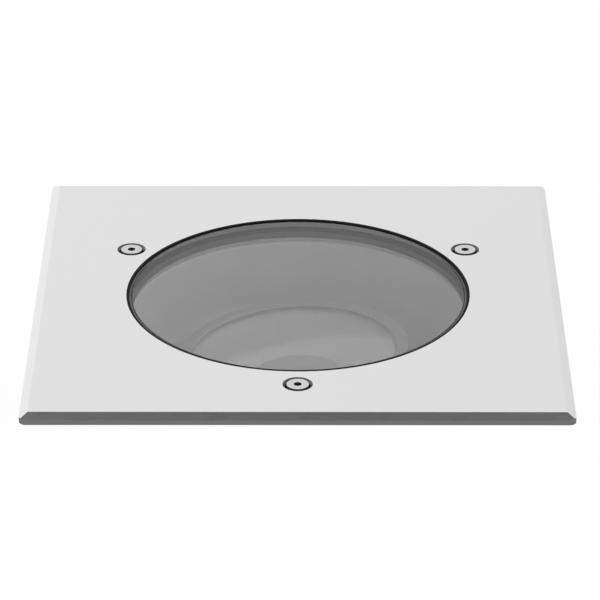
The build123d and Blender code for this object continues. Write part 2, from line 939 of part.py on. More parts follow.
# Lamp holder with its screw shell and centre contact
def lamp_holder():
    body = turned(
        (0, holder_foot),
        (holder_foot_radius, holder_foot),
        (holder_radius, holder_mouth - holder_height / 2),
        (holder_radius, holder_mouth - holder_groove_width),
        (holder_radius - holder_groove_width, holder_mouth),
        (0, holder_mouth),
    )
    body -= rod(holder_bore_radius, holder_bore_floor, holder_mouth + overrun)
    for depth in holder_groove_depths:
        height = holder_mouth - depth
        body -= tube(
            holder_radius - holder_groove_depth,
            holder_radius + overrun,
            height - holder_groove_width / 2,
            height + holder_groove_width / 2,
        )
    for side in (-1, 1):
        place = Pos(0, side * holder_screw_spacing / 2, holder_foot)
        body -= place * rod(holder_screw_radius + fit_clearance, -overrun, holder_screw_length)
    return body


def holder_shell():
    outside = holder_bore_radius - fit_clearance
    top = holder_mouth - shell_top_gap
    return tube(outside - shell_wall, outside, top - shell_height, top)


def holder_contact():
    """A spring tongue from the holder's floor up to the lamp's centre contact."""
    rise = contact_end - tongue_thickness - holder_bore_floor
    run = tongue_length / 2
    strip = plate_of(
        [
            (-run, holder_bore_floor),
            (-run, holder_bore_floor + tongue_thickness),
            (0, holder_bore_floor + tongue_thickness),
            (run - tongue_width / 2, holder_bore_floor + rise + tongue_thickness),
            (run, holder_bore_floor + rise + tongue_thickness),
            (run, holder_bore_floor + rise),
            (run - tongue_width / 2 + tongue_thickness, holder_bore_floor + rise),
            (tongue_thickness, holder_bore_floor),
        ],
        tongue_width,
    )
    return strip


def holder_screws():
    upright = socket_screw(
        holder_screw_radius,
        holder_screw_head_radius,
        holder_screw_head_height,
        holder_screw_length,
        holder_screw_radius,
    )
    screw = Rot(180, 0, 0) * upright
    height = holder_foot - strap_thickness
    return group([Pos(0, side * holder_screw_spacing / 2, height) * screw for side in (-1, 1)])


# Terminal block: a barrel for each pole on a common base
def pole_places():
    first = -(terminal_pole_count - 1) / 2
    lines = [(first + step) * terminal_pole_pitch for step in range(terminal_pole_count)]
    return [Pos(terminal_place, line, floor_inside) for line in lines]


def terminal_axis_height():
    return terminal_base_height + terminal_barrel_radius / 2


def terminal_block():
    width = terminal_pole_count * terminal_pole_pitch
    base = Pos(terminal_place, 0, floor_inside) * Box(
        terminal_length, width, terminal_base_height, align=standing
    )
    axis = terminal_axis_height()
    lying = Pos(0, 0, axis) * Rot(0, 90, 0)
    barrel = lying * Cylinder(terminal_barrel_radius, terminal_length)
    bore = lying * Cylinder(terminal_tube_radius + fit_clearance, terminal_length + overrun)
    well = rod(terminal_screw_radius + fit_clearance, axis, axis + terminal_barrel_radius + overrun)
    for place in pole_places():
        base += place * barrel
    for place in pole_places():
        base -= place * bore
        for side in (-1, 1):
            base -= place * Pos(side * terminal_screw_spacing / 2, 0, 0) * well
    return base


def terminal_tubes():
    length = terminal_length - 2 * terminal_tube_inset
    axis = terminal_axis_height()
    bush = Rot(0, 90, 0) * Cylinder(terminal_tube_radius, length)
    bush -= Rot(0, 90, 0) * Cylinder(terminal_tube_bore_radius, length + overrun)
    for side in (-1, 1):
        bush -= Pos(side * terminal_screw_spacing / 2, 0, 0) * rod(
            terminal_screw_radius + fit_clearance, 0, terminal_tube_radius + overrun
        )
    return group([place * Pos(0, 0, axis) * bush for place in pole_places()])


def terminal_screws():
    axis = terminal_axis_height()
    bottom = axis + terminal_tube_bore_radius
    top = axis + terminal_barrel_radius - terminal_screw_sink
    screw = rod(terminal_screw_radius, bottom, top)
    slot_length = 2 * terminal_screw_radius + overrun
    screw -= Pos(0, 0, top) * Box(slot_length, terminal_slot_width, 2 * terminal_slot_depth)
    pair = [Pos(side * terminal_screw_spacing / 2, 0, 0) * screw for side in (-1, 1)]
    return group([place * one for place in pole_places() for one in pair])


def earth_screw():
    seat = floor_inside + earth_pad_height
    washer = rod(earth_washer_radius, seat, seat + earth_washer_thickness)
    head_seat = seat + earth_washer_thickness
    head = hexagon(earth_head_flats, head_seat, head_seat + earth_head_height)
    shank = rod(earth_screw_radius, seat - earth_screw_reach + insert_run_out, seat)
    return Pos(-earth_place, 0, 0) * (washer + head + shank)


# Cable glands under the housing
def gland_body():
    hex_foot = gland_face - gland_hex_height
    spigot_foot = hex_foot - gland_spigot_height
    body = rod(gland_thread_radius, gland_face, floor_inside + gland_thread_rise)
    body += hexagon(gland_hex_flats, hex_foot, gland_face)
    body += rod(gland_spigot_radius, spigot_foot, hex_foot)
    body -= rod(gland_bore_radius, spigot_foot - overrun, floor_inside + gland_thread_rise + overrun)
    return body - rod(gland_seal_radius + fit_clearance, spigot_foot - overrun, gland_seal_top)


def gland_seal():
    return tube(gland_seal_bore_radius, gland_seal_radius, gland_seal_bottom, gland_seal_top)


def gland_nut():
    flat = gland_nut_flats / 2
    dome = turned(
        (0, gland_nut_bottom),
        (flat - gland_nut_chamfer, gland_nut_bottom),
        (flat + gland_nut_chamfer, gland_nut_bottom + 2 * gland_nut_chamfer),
        (flat + gland_nut_chamfer, gland_nut_top),
        (0, gland_nut_top),
    )
    nut = hexagon(gland_nut_flats, gland_nut_bottom, gland_nut_top) & dome
    nut -= rod(gland_spigot_radius + fit_clearance, gland_seal_bottom, gland_nut_top + overrun)
    return nut - rod(gland_bore_radius, gland_nut_bottom - overrun, gland_seal_bottom + overrun)


def at_glands(piece):
    return group([Pos(x, y, 0) * piece for x, y in gland_places])


# Installation pot: a tapered plastic pot with a well for the flange, ribs, hoops and conduit spouts
def pot_wall_radius(height):
    """The pot's outside radius at a height, which falls evenly from its rim to its foot."""
    return pot_foot_radius + pot_taper * (height - pot_bottom) / (-pot_rim_height - pot_bottom)


def pot_rib():
    rib_foot = pot_bottom + pot_rib_gap
    top_root = pot_wall_radius(-pot_rib_top) - pot_wall / 2
    foot_root = pot_wall_radius(rib_foot) - pot_wall / 2
    return plate_of(
        [
            (top_root, -pot_rim_height + pot_wall / 2),
            (pot_rim_radius - pot_wall / 2, -pot_rim_height + pot_wall / 2),
            (top_root + pot_rib_reach, -pot_rib_top),
            (foot_root + pot_rib_reach, rib_foot + pot_rib_reach),
            (foot_root, rib_foot),
        ],
        pot_rib_thickness,
    )


def pot_hoop(share):
    """A stiffening hoop round the pot, at a share of its depth."""
    top = share * pot_bottom
    outside = pot_wall_radius(top)
    return tube(outside - pot_wall / 2, outside + pot_hoop_reach, top - pot_hoop_height, top)


def spout():
    """A conduit entry along X, from the pot's wall out to its end."""
    start = pot_foot_radius - pot_wall - spout_web
    length = spout_end - start
    return Pos(start + length / 2, 0, spout_height) * Rot(0, 90, 0) * Cylinder(spout_radius, length)


def spout_bores():
    along = Pos(spout_end, 0, spout_height) * Rot(0, 90, 0)
    seat = rod(conduit_radius, -conduit_seat_length, overrun)
    mouth = rod(spout_mouth_radius, pot_foot_radius / 2 - spout_end, overrun)
    return along * (seat + mouth)


def pot_moulding():
    """The whole pot but its spouts, with room for them."""
    body = turned(
        (0, pot_bottom),
        (pot_foot_radius, pot_bottom),
        (pot_radius, -pot_rim_height),
        (pot_rim_radius, -pot_rim_height),
        (pot_rim_radius, pot_rim_top),
        (0, pot_rim_top),
    )
    for rib in ring_of(pot_rib_count, pot_rib(), 180 / pot_rib_count):
        body += rib
    for share in pot_hoop_shares:
        body += pot_hoop(share)
    inside_top = pot_radius - pot_wall
    cavity = turned(
        (0, pot_floor),
        (pot_foot_radius - pot_wall, pot_floor),
        (inside_top, flange_bottom - pot_wall),
        (inside_top, pot_rim_top + overrun),
        (0, pot_rim_top + overrun),
    )
    boss = rod(pot_boss_radius, flange_bottom - pot_boss_length, flange_bottom)
    for angle in housing_screw_angles:
        cavity -= around(housing_screw_circle, angle) * boss
    body -= cavity
    body -= rod(pot_well_radius, flange_bottom, pot_rim_top + overrun)
    screw_hole = rod(insert_hole_radius, flange_bottom - pot_screw_hole_depth, flange_bottom + overrun)
    for angle in housing_screw_angles:
        body -= around(housing_screw_circle, angle) * screw_hole
    for turn in (0, 180):
        body -= Rot(0, 0, turn) * spout()
    drain = rod(pot_drain_radius, pot_bottom - overrun, pot_floor + overrun)
    for hole in ring_of(pot_drain_count, Pos(pot_drain_circle, 0, 0) * drain, 180 / pot_drain_count):
        body -= hole
    return body


def pot_spouts():
    return group([Rot(0, 0, turn) * (spout() - spout_bores()) for turn in (0, 180)])


def pot_inserts():
    bush = threaded_insert(flange_bottom)
    return group([around(housing_screw_circle, angle) * bush for angle in housing_screw_angles])


def conduit_grommets():
    """Rubber rings that close the spouts round the cable, with a flange inside the pot."""
    inner_end = pot_foot_radius - pot_wall - spout_web
    plug_length = spout_end - conduit_seat_length - inner_end
    flange = tube(grommet_bore_radius, grommet_flange_radius, -grommet_flange_thickness, 0)
    plug = tube(grommet_bore_radius, spout_mouth_radius - fit_clearance, 0, plug_length)
    ring = Pos(inner_end, 0, spout_height) * Rot(0, 90, 0) * (flange + plug)
    return group([Rot(0, 0, turn) * ring for turn in (0, 180)])


# Every piece by its node's name
casting = housing_casting()
moulding = pot_moulding()
nodes = {
    "cover_plate": cover_plate(),
    "glass": glass(),
    "glass_seal": glass_seal(),
    "glass_collar": glass_collar(),
    "cover_screw_inserts": cover_screw_inserts(),
    "flange_gasket": flange_gasket(),
    "lamp_housing": between(casting, gland_face - overrun, shoulder_top),
    "housing_wall": between(casting, shoulder_top, pocket_foot),
    "housing_flange": between(casting, pocket_foot, plate_thickness),
    "housing_fins": housing_fins(),
    "housing_screws": housing_screws(),
    "reflector_bowl": reflector_bowl(),
    "tilt_bracket": tilt_bracket(),
    "bracket_screws": bracket_screws(),
    "pivot_screws": pivot_screws(),
    "pivot_washers": pivot_washers(),
    "pivot_nuts": pivot_nuts(),
    "terminal_block": terminal_block(),
    "terminal_tubes": terminal_tubes(),
    "terminal_screws": terminal_screws(),
    "earth_screw": earth_screw(),
    "gland_bodies": at_glands(gland_body()),
    "gland_seals": at_glands(gland_seal()),
    "gland_nuts": at_glands(gland_nut()),
    "installation_pot": between(moulding, spout_height, plate_thickness),
    "pot_floor": between(moulding, pot_bottom - overrun, spout_height),
    "pot_spouts": pot_spouts(),
    "pot_inserts": pot_inserts(),
    "conduit_grommets": conduit_grommets(),
}
for place, angle in screw_angles.items():
    nodes["cover_screw_" + place] = around(screw_circle_radius, angle) * cover_screw()
    nodes["retaining_washer_" + place] = around(screw_circle_radius, angle) * retaining_washer()
leaning_pieces = (
    tilt_cradle,
    lamp_holder,
    holder_shell,
    holder_contact,
    holder_screws,
    lamp_bezel,
    lamp_lens,
    lamp_reflector,
    led_holder,
    led_board,
    led_emitter,
    lamp_heat_sink,
    lamp_neck,
    lamp_cap,
    lamp_contact,
)
for piece in leaning_pieces:
    nodes[piece.__name__] = lean(piece())

os.makedirs("parts", exist_ok=True)
for name, solid in nodes.items():
    export_step(solid, "parts/" + name + ".step")
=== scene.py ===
import json
import math

import bmesh
import bpy
from mathutils import Matrix, Vector


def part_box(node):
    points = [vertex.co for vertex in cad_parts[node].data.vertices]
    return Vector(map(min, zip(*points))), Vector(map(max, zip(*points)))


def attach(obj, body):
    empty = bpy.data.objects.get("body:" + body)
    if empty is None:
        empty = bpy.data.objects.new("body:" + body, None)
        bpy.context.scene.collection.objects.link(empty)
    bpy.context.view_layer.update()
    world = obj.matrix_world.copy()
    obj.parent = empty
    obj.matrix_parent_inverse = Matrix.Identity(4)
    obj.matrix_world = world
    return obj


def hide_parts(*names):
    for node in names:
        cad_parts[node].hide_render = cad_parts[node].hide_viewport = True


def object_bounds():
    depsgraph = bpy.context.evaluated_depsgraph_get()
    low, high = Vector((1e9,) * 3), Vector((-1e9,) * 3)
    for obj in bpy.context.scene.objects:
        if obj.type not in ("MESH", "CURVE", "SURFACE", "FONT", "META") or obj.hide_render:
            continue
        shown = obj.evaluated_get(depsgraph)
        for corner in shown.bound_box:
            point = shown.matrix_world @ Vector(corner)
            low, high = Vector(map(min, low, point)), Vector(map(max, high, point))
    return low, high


# In-ground light seen from above and in front. Metres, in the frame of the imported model.
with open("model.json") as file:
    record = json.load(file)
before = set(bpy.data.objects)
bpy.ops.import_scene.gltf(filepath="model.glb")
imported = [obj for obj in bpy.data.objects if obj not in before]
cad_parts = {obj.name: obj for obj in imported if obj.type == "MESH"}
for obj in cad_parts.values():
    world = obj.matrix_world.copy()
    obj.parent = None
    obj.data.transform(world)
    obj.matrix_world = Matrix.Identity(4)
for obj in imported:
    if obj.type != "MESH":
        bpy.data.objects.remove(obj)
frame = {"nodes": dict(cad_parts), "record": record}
cad_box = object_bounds()
nodes = frame["nodes"]
mm = 0.001

# Camera, fitted to the plate's corners, the opening and the three screws; its lens is in millimetres
camera_lens = 219.0
camera_elevation = math.radians(26.479)
camera_turn = math.radians(0.0867)
camera_distance = 1.4928
camera_aim = Vector((0.8 * mm, -7.36 * mm, 4.0 * mm))
camera_nearest = 0.5 * mm

camera_data = bpy.data.cameras.new("camera")
camera_data.lens = camera_lens
camera_data.clip_start = camera_nearest
camera = bpy.data.objects.new("camera", camera_data)
bpy.context.scene.collection.objects.link(camera)
towards_camera = Vector(
    (
        math.sin(camera_turn) * math.cos(camera_elevation),
        -math.cos(camera_turn) * math.cos(camera_elevation),
        math.sin(camera_elevation),
    )
)
camera.location = camera_aim + towards_camera * camera_distance
camera.rotation_mode = "QUATERNION"
camera.rotation_quaternion = (-towards_camera).to_track_quat("-Z", "Y")
bpy.context.scene.camera = camera
bpy.context.scene.view_settings.view_transform = "Standard"


# Steps that node trees share. An input is a number, a colour, or what another node gives.
def fill(tree, socket, value):
    """Links an input to another node's output, or sets it to a value."""
    if isinstance(value, bpy.types.NodeSocket):
        tree.links.new(value, socket)
    else:
        socket.default_value = value


def computed(tree, operation, first, second):
    """What a Math node makes of two numbers."""
    node = tree.nodes.new("ShaderNodeMath")
    node.operation = operation
    fill(tree, node.inputs[0], first)
    fill(tree, node.inputs[1], second)
    return node.outputs["Value"]


def blended(tree, kind, share, first, second):
    """Two colours or two numbers mixed by a share."""
    node = tree.nodes.new("ShaderNodeMix")
    node.data_type = kind
    fill(tree, node.inputs["Factor"], share)
    fill(tree, node.inputs["A"], first)
    fill(tree, node.inputs["B"], second)
    return node.outputs["Result"]


def mapped(tree, source, low, high, start, end):
    """A value's range from start to end spread over low to high, and held there outside it."""
    node = tree.nodes.new("ShaderNodeMapRange")
    node.inputs["From Min"].default_value = start
    node.inputs["From Max"].default_value = end
    node.inputs["To Min"].default_value = low
    node.inputs["To Max"].default_value = high
    tree.links.new(source, node.inputs["Value"])
    return node.outputs["Result"]


def glow(tree, strength):
    """White light from a surface."""
    node = tree.nodes.new("ShaderNodeEmission")
    node.inputs["Strength"].default_value = strength
    return node.outputs["Emission"]


def clear(tree, color=(1.0, 1.0, 1.0)):
    """A surface that light passes straight through."""
    node = tree.nodes.new("ShaderNodeBsdfTransparent")
    node.inputs["Color"].default_value = [*color, 1.0]
    return node.outputs["BSDF"]


def layered(tree, share, first, second):
    """Two surfaces mixed by a share."""
    node = tree.nodes.new("ShaderNodeMixShader")
    fill(tree, node.inputs["Fac"], share)
    tree.links.new(first, node.inputs[1])
    tree.links.new(second, node.inputs[2])
    return node.outputs["Shader"]


def surface(tree, shader):
    """Makes a shader the material's surface."""
    tree.links.new(shader, tree.nodes["Material Output"].inputs["Surface"])


# Materials
noise_low = 0.3
noise_high = 0.7
gloss_patch_share = 1 / 3
gloss_spread = 0.12
brushed_gloss_spread = 0.1
brushed_detail = 2.0
brushed_stretch = (60.0, 1.0, 1.0)
brushed_relief_stretch = (40.0, 1.0, 1.0)
frost_patch = 15 * mm
frost_spread = 0.012


def new_material(name):
    """A material with its node tree and its main shader."""
    material = bpy.data.materials.new(name)
    material.use_nodes = True
    return material, material.node_tree, material.node_tree.nodes["Principled BSDF"]


def noise(tree, size, detail=3.0, stretch=(1.0, 1.0, 1.0)):
    """Noise whose spots are about the given size in metres, longer along an axis with a stretch above 1."""
    place = tree.nodes.new("ShaderNodeTexCoord")
    mapping = tree.nodes.new("ShaderNodeMapping")
    mapping.inputs["Scale"].default_value = [1 / (size * s) for s in stretch]
    texture = tree.nodes.new("ShaderNodeTexNoise")
    texture.inputs["Scale"].default_value = 1.0
    texture.inputs["Detail"].default_value = detail
    tree.links.new(place.outputs["Object"], mapping.inputs["Vector"])
    tree.links.new(mapping.outputs["Vector"], texture.inputs["Vector"])
    return texture.outputs["Fac"]


def tinted(tree, source, color, spread):
    """A colour that wanders a little to each side of the given one."""
    ramp = tree.nodes.new("ShaderNodeValToRGB")
    ramp.color_ramp.elements[0].position = noise_low
    ramp.color_ramp.elements[1].position = noise_high
    ramp.color_ramp.elements[0].color = [c * (1 - spread) for c in color] + [1.0]
    ramp.color_ramp.elements[1].color = [min(1.0, c * (1 + spread)) for c in color] + [1.0]
    tree.links.new(source, ramp.inputs["Fac"])
    return ramp.outputs["Color"]


def glossed(tree, shader, source, low, high):
    """Roughness that wanders from low to high."""
    tree.links.new(mapped(tree, source, low, high, noise_low, noise_high), shader.inputs["Roughness"])


def relief(tree, shader, source, height):
    """Surface texture of the given height in metres."""
    bump = tree.nodes.new("ShaderNodeBump")
    bump.inputs["Strength"].default_value = 1.0
    bump.inputs["Distance"].default_value = height
    tree.links.new(source, bump.inputs["Height"])
    tree.links.new(bump.outputs["Normal"], shader.inputs["Normal"])


def plain(
    name,
    color,
    rough,
    metal=0.0,
    spread=0.05,
    patch=20 * mm,
    grain=0.5 * mm,
    height=0.01 * mm,
    coat=0.0,
    shine=0.5,
):
    """A surface with large soft patches of colour, smaller patches of gloss and a fine relief."""
    material, tree, shader = new_material(name)
    shader.inputs["Metallic"].default_value = metal
    shader.inputs["Coat Weight"].default_value = coat
    shader.inputs["Specular IOR Level"].default_value = shine
    tree.links.new(tinted(tree, noise(tree, patch), color, spread), shader.inputs["Base Color"])
    patches = noise(tree, patch * gloss_patch_share)
    glossed(tree, shader, patches, rough * (1 - gloss_spread), rough * (1 + gloss_spread))
    relief(tree, shader, noise(tree, grain), height)
    return material


def brushed(name, color, rough, spread, line, height):
    """Metal with fine lines along X."""
    material, tree, shader = new_material(name)
    shader.inputs["Metallic"].default_value = 1.0
    lines = noise(tree, line, brushed_detail, brushed_stretch)
    tree.links.new(tinted(tree, lines, color, spread), shader.inputs["Base Color"])
    glossed(tree, shader, lines, rough * (1 - brushed_gloss_spread), rough * (1 + brushed_gloss_spread))
    relief(tree, shader, noise(tree, line, brushed_detail, brushed_relief_stretch), height)
    return material


def see_through(name, color, frost=0.0, ior=1.5):
    """Glass that lets the light of the lamp and the sky through to what lies under it."""
    material, tree, shader = new_material(name)
    shader.inputs["Base Color"].default_value = [*color, 1.0]
    shader.inputs["Transmission Weight"].default_value = 1.0
    shader.inputs["IOR"].default_value = ior
    glossed(tree, shader, noise(tree, frost_patch), frost, frost + frost_spread)
    path = tree.nodes.new("ShaderNodeLightPath")
    lighting = computed(tree, "MAXIMUM", path.outputs["Is Shadow Ray"], path.outputs["Is Diffuse Ray"])
    surface(tree, layered(tree, lighting, shader.outputs["BSDF"], clear(tree, color)))
    return material


def shaded_near(material, points, radius, height, color):
    """Paints shade into a material's colour: another colour within a radius of some points, under a height.
    """
    tree = material.node_tree
    base = tree.nodes["Principled BSDF"].inputs["Base Color"]
    place = tree.nodes.new("ShaderNodeTexCoord")
    distances = []
    for point in points:
        distance = tree.nodes.new("ShaderNodeVectorMath")
        distance.operation = "DISTANCE"
        distance.inputs[1].default_value = point
        tree.links.new(place.outputs["Object"], distance.inputs[0])
        distances.append(distance.outputs["Value"])
    nearest = distances[0]
    for distance in distances[1:]:
        nearest = computed(tree, "MINIMUM", nearest, distance)
    parts = tree.nodes.new("ShaderNodeSeparateXYZ")
    tree.links.new(place.outputs["Object"], parts.inputs["Vector"])
    near = computed(tree, "LESS_THAN", nearest, radius)
    under = computed(tree, "LESS_THAN", parts.outputs["Z"], height)
    both = computed(tree, "MULTIPLY", near, under)
    tree.links.new(blended(tree, "RGBA", both, base.links[0].from_socket, [*color, 1.0]), base)


materials = {
    "plate_steel": brushed("plate_steel", (0.733, 0.733, 0.735), 0.15, 0.012, 0.12 * mm, 0.0004 * mm),
    "walk_glass": see_through("walk_glass", (0.976, 0.978, 0.977)),
    "ground_glass": plain("ground_glass", (0.15, 0.153, 0.15), 0.6, grain=0.2 * mm, shine=0.3),
    # Near-black band on the glass's bevel: painted shade
    "glass_edge": plain("glass_edge", (0.012, 0.013, 0.012), 0.6, grain=0.2 * mm, shine=0.2),
    "seal_rubber": plain(
        "seal_rubber", (0.006, 0.006, 0.006), 0.7, spread=0.2, grain=0.3 * mm, shine=0.12
    ),
    "collar_paint": plain("collar_paint", (0.072, 0.072, 0.073), 0.5, grain=0.4 * mm),
    "screw_steel": plain(
        "screw_steel", (0.62, 0.62, 0.625), 0.3, metal=1.0, grain=0.3 * mm, height=0.002 * mm
    ),
    # Dark steel for the screw heads' sides and sockets: painted shade
    "screw_side": plain(
        "screw_side", (0.07, 0.07, 0.07), 0.5, metal=0.6, grain=0.3 * mm, height=0.004 * mm
    ),
    "washer_plastic": plain("washer_plastic", (0.8, 0.79, 0.75), 0.45),
    "insert_brass": plain("insert_brass", (0.72, 0.52, 0.24), 0.3, metal=1.0, height=0.004 * mm),
    "housing_casting": plain(
        "housing_casting", (0.34, 0.345, 0.35), 0.5, metal=0.2, spread=0.08, grain=0.7 * mm, height=0.05 * mm
    ),
    "bowl_paint": plain("bowl_paint", (0.224, 0.224, 0.225), 0.42, grain=0.8 * mm, height=0.004 * mm),
    "strap_steel": brushed("strap_steel", (0.6, 0.61, 0.62), 0.35, 0.04, 0.15 * mm, 0.001 * mm),
    "pot_plastic": plain("pot_plastic", (0.035, 0.036, 0.038), 0.55, spread=0.15, height=0.03 * mm),
    "grommet_rubber": plain("grommet_rubber", (0.02, 0.02, 0.02), 0.65, spread=0.2, grain=0.3 * mm),
    "gland_plastic": plain("gland_plastic", (0.07, 0.072, 0.075), 0.4, grain=0.3 * mm),
    "terminal_plastic": plain("terminal_plastic", (0.78, 0.78, 0.74), 0.4),
    "holder_ceramic": plain("holder_ceramic", (0.82, 0.81, 0.77), 0.2, grain=1.5 * mm, coat=0.4),
    "bezel_paint": plain("bezel_paint", (0.12, 0.12, 0.121), 0.42, grain=0.6 * mm, height=0.006 * mm),
    "lens_glass": see_through("lens_glass", (0.98, 0.98, 0.98), frost=0.03, ior=1.2),
    "dish_aluminium": plain("dish_aluminium", (0.235, 0.235, 0.236), 0.55, metal=0.1, grain=0.4 * mm),
    "led_plastic": plain("led_plastic", (0.13, 0.13, 0.13), 0.6, shine=0.2),
    "board_aluminium": plain("board_aluminium", (0.72, 0.72, 0.72), 0.35, metal=1.0),
    "emitter": plain("emitter", (0.5, 0.5, 0.48), 0.5, grain=0.4 * mm),
    "sink_casting": plain("sink_casting", (0.45, 0.45, 0.46), 0.45, metal=0.6, spread=0.08, height=0.03 * mm),
    "neck_plastic": plain("neck_plastic", (0.78, 0.78, 0.77), 0.25),
    "cap_nickel": plain("cap_nickel", (0.68, 0.66, 0.62), 0.25, metal=1.0, height=0.003 * mm),
}

# The countersinks in the plate, a little under its top and round each screw, are painted dark: painted shade
# for the gap round the screw heads
screw_places = ("front", "right", "left")
countersink_shade_reach = 6.3 * mm
countersink_shade_start = 0.05 * mm
countersink_shade_color = (0.1, 0.1, 0.1)
plate_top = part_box("cover_plate")[1].z
screw_boxes = [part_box("cover_screw_" + place) for place in screw_places]
screw_tops = [((low.x + high.x) / 2, (low.y + high.y) / 2, plate_top) for low, high in screw_boxes]
shaded_near(
    materials["plate_steel"],
    screw_tops,
    countersink_shade_reach,
    plate_top - countersink_shade_start,
    countersink_shade_color,
)

for subpart in frame["record"]["subparts"]:
    mesh = nodes[subpart["node"]].data
    mesh.materials.clear()
    mesh.materials.append(materials[subpart["material_slot"]])


# Meshes made here
turned_sharp_angle = math.radians(8)


def add_piece(name, mesh, body, slot, *replaced):
    """A new piece that moves with a body and stands for CAD nodes."""
    piece = bpy.data.objects.new(name, mesh)
    bpy.context.scene.collection.objects.link(piece)
    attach(piece, body)
    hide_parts(*replaced)
    return piece


def turned_mesh(name, outline, steps, zones):
    """A body turned about the vertical axis from (radius, height) points; a zone is a band's material."""
    mesh = bpy.data.meshes.new(name)
    work = bmesh.new()
    angles = [2 * math.pi * step / steps for step in range(steps)]
    rings = []
    for radius, height in outline:
        if radius == 0:
            rings.append([work.verts.new((0, 0, height))] * steps)
            continue
        places = [(radius * math.cos(angle), radius * math.sin(angle), height) for angle in angles]
        rings.append([work.verts.new(place) for place in places])
    for zone, lower, upper in zip(zones, rings, rings[1:]):
        for step in range(steps):
            after = (step + 1) % steps
            corners = [lower[step], lower[after], upper[after], upper[step]]
            face = work.faces.new(list(dict.fromkeys(corners)))
            face.material_index = zone
            face.smooth = True
    bmesh.ops.recalc_face_normals(work, faces=work.faces)
    work.to_mesh(mesh)
    work.free()
    mesh.set_sharp_from_angle(angle=turned_sharp_angle)
    return mesh


# The walk-over glass, to the CAD glass's own sizes: clear faces, and a ground edge that ends in a near-black
# line, painted shade for the dark that the bevel's refraction shows
glass_low, glass_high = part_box("glass")
glass_rim = glass_high.x
glass_step = 2.8 * mm
glass_shoulder = 4.0 * mm
glass_bevel_run = 1.2 * mm
glass_bevel_drop = 0.4 * mm
glass_arris = 0.6 * mm
glass_shade_line_share = 0.3
glass_steps = 180
glass_face = glass_rim - glass_step
glass_shade_line_run = glass_bevel_run * (1 - glass_shade_line_share)
glass_shade_line_drop = glass_bevel_drop * glass_shade_line_share
glass_outline = [
    (0, glass_low.z),
    (glass_rim - glass_arris, glass_low.z),
    (glass_rim, glass_low.z + glass_arris),
    (glass_rim, glass_high.z - glass_shoulder),
    (glass_face, glass_high.z - glass_shoulder),
    (glass_face, glass_high.z - glass_bevel_drop),
    (glass_face - glass_shade_line_run, glass_high.z - glass_shade_line_drop),
    (glass_face - glass_bevel_run, glass_high.z),
    (0, glass_high.z),
]
glass_slots = ("walk_glass", "ground_glass", "glass_edge")
clear_zone, ground_zone, shade_line_zone = range(len(glass_slots))
glass_zones = [ground_zone] * (len(glass_outline) - 1)
glass_zones[0] = clear_zone
glass_zones[-2:] = [shade_line_zone, clear_zone]
glass_mesh = turned_mesh("walk_over_glass", glass_outline, glass_steps, glass_zones)
for slot in glass_slots:
    glass_mesh.materials.append(materials[slot])
add_piece("walk_over_glass", glass_mesh, "cover", "walk_glass", "glass")


# Threads, which the CAD screws and lamp cap don't have
weld_distance = 0.001 * mm


def thread_into(work, radius, bottom, top, middle, pitch, depth, profile, steps):
    """Adds a rod with a helical thread to a mesh, about a vertical axis through a point.

    The rod is open at both ends. The profile gives the thread's height, 0 to 1, along one pitch, and one more
    turn than the rod's length takes is drawn at each end and flattened onto it.
    """
    rows = len(profile)
    turns = math.ceil((top - bottom) / pitch) + 2
    grid = []
    for row in range(turns * rows + 1):
        ring = []
        for step in range(steps):
            height = bottom + pitch * (row / rows - 1 + step / steps)
            inside = bottom < height < top
            reach = radius - depth * (1 - profile[row % rows] * inside)
            angle = 2 * math.pi * step / steps
            place = (reach * math.cos(angle), reach * math.sin(angle), min(max(height, bottom), top))
            ring.append(work.verts.new(middle + Vector(place)))
        grid.append(ring)
    for row in range(turns * rows):
        for step in range(steps):
            if step + 1 < steps:
                after = [grid[row + 1][step + 1], grid[row][step + 1]]
            elif row + rows + 1 <= turns * rows:
                after = [grid[row + rows + 1][0], grid[row + rows][0]]
            else:
                continue
            work.faces.new([grid[row][step], *reversed(after), grid[row + 1][step]])


# Cover screws: the CAD heads and necks, with an M5 thread below them
screw_radius = 2.5 * mm
screw_socket_reach = 1.9 * mm
screw_pitch = 0.8 * mm
screw_thread_depth = 0.49 * mm
screw_thread_profile = (0.0, 0.0, 1.0, 1.0)
screw_thread_steps = 32
screw_thread_gap = 0.1 * mm
screw_sharp_angle = math.radians(30)


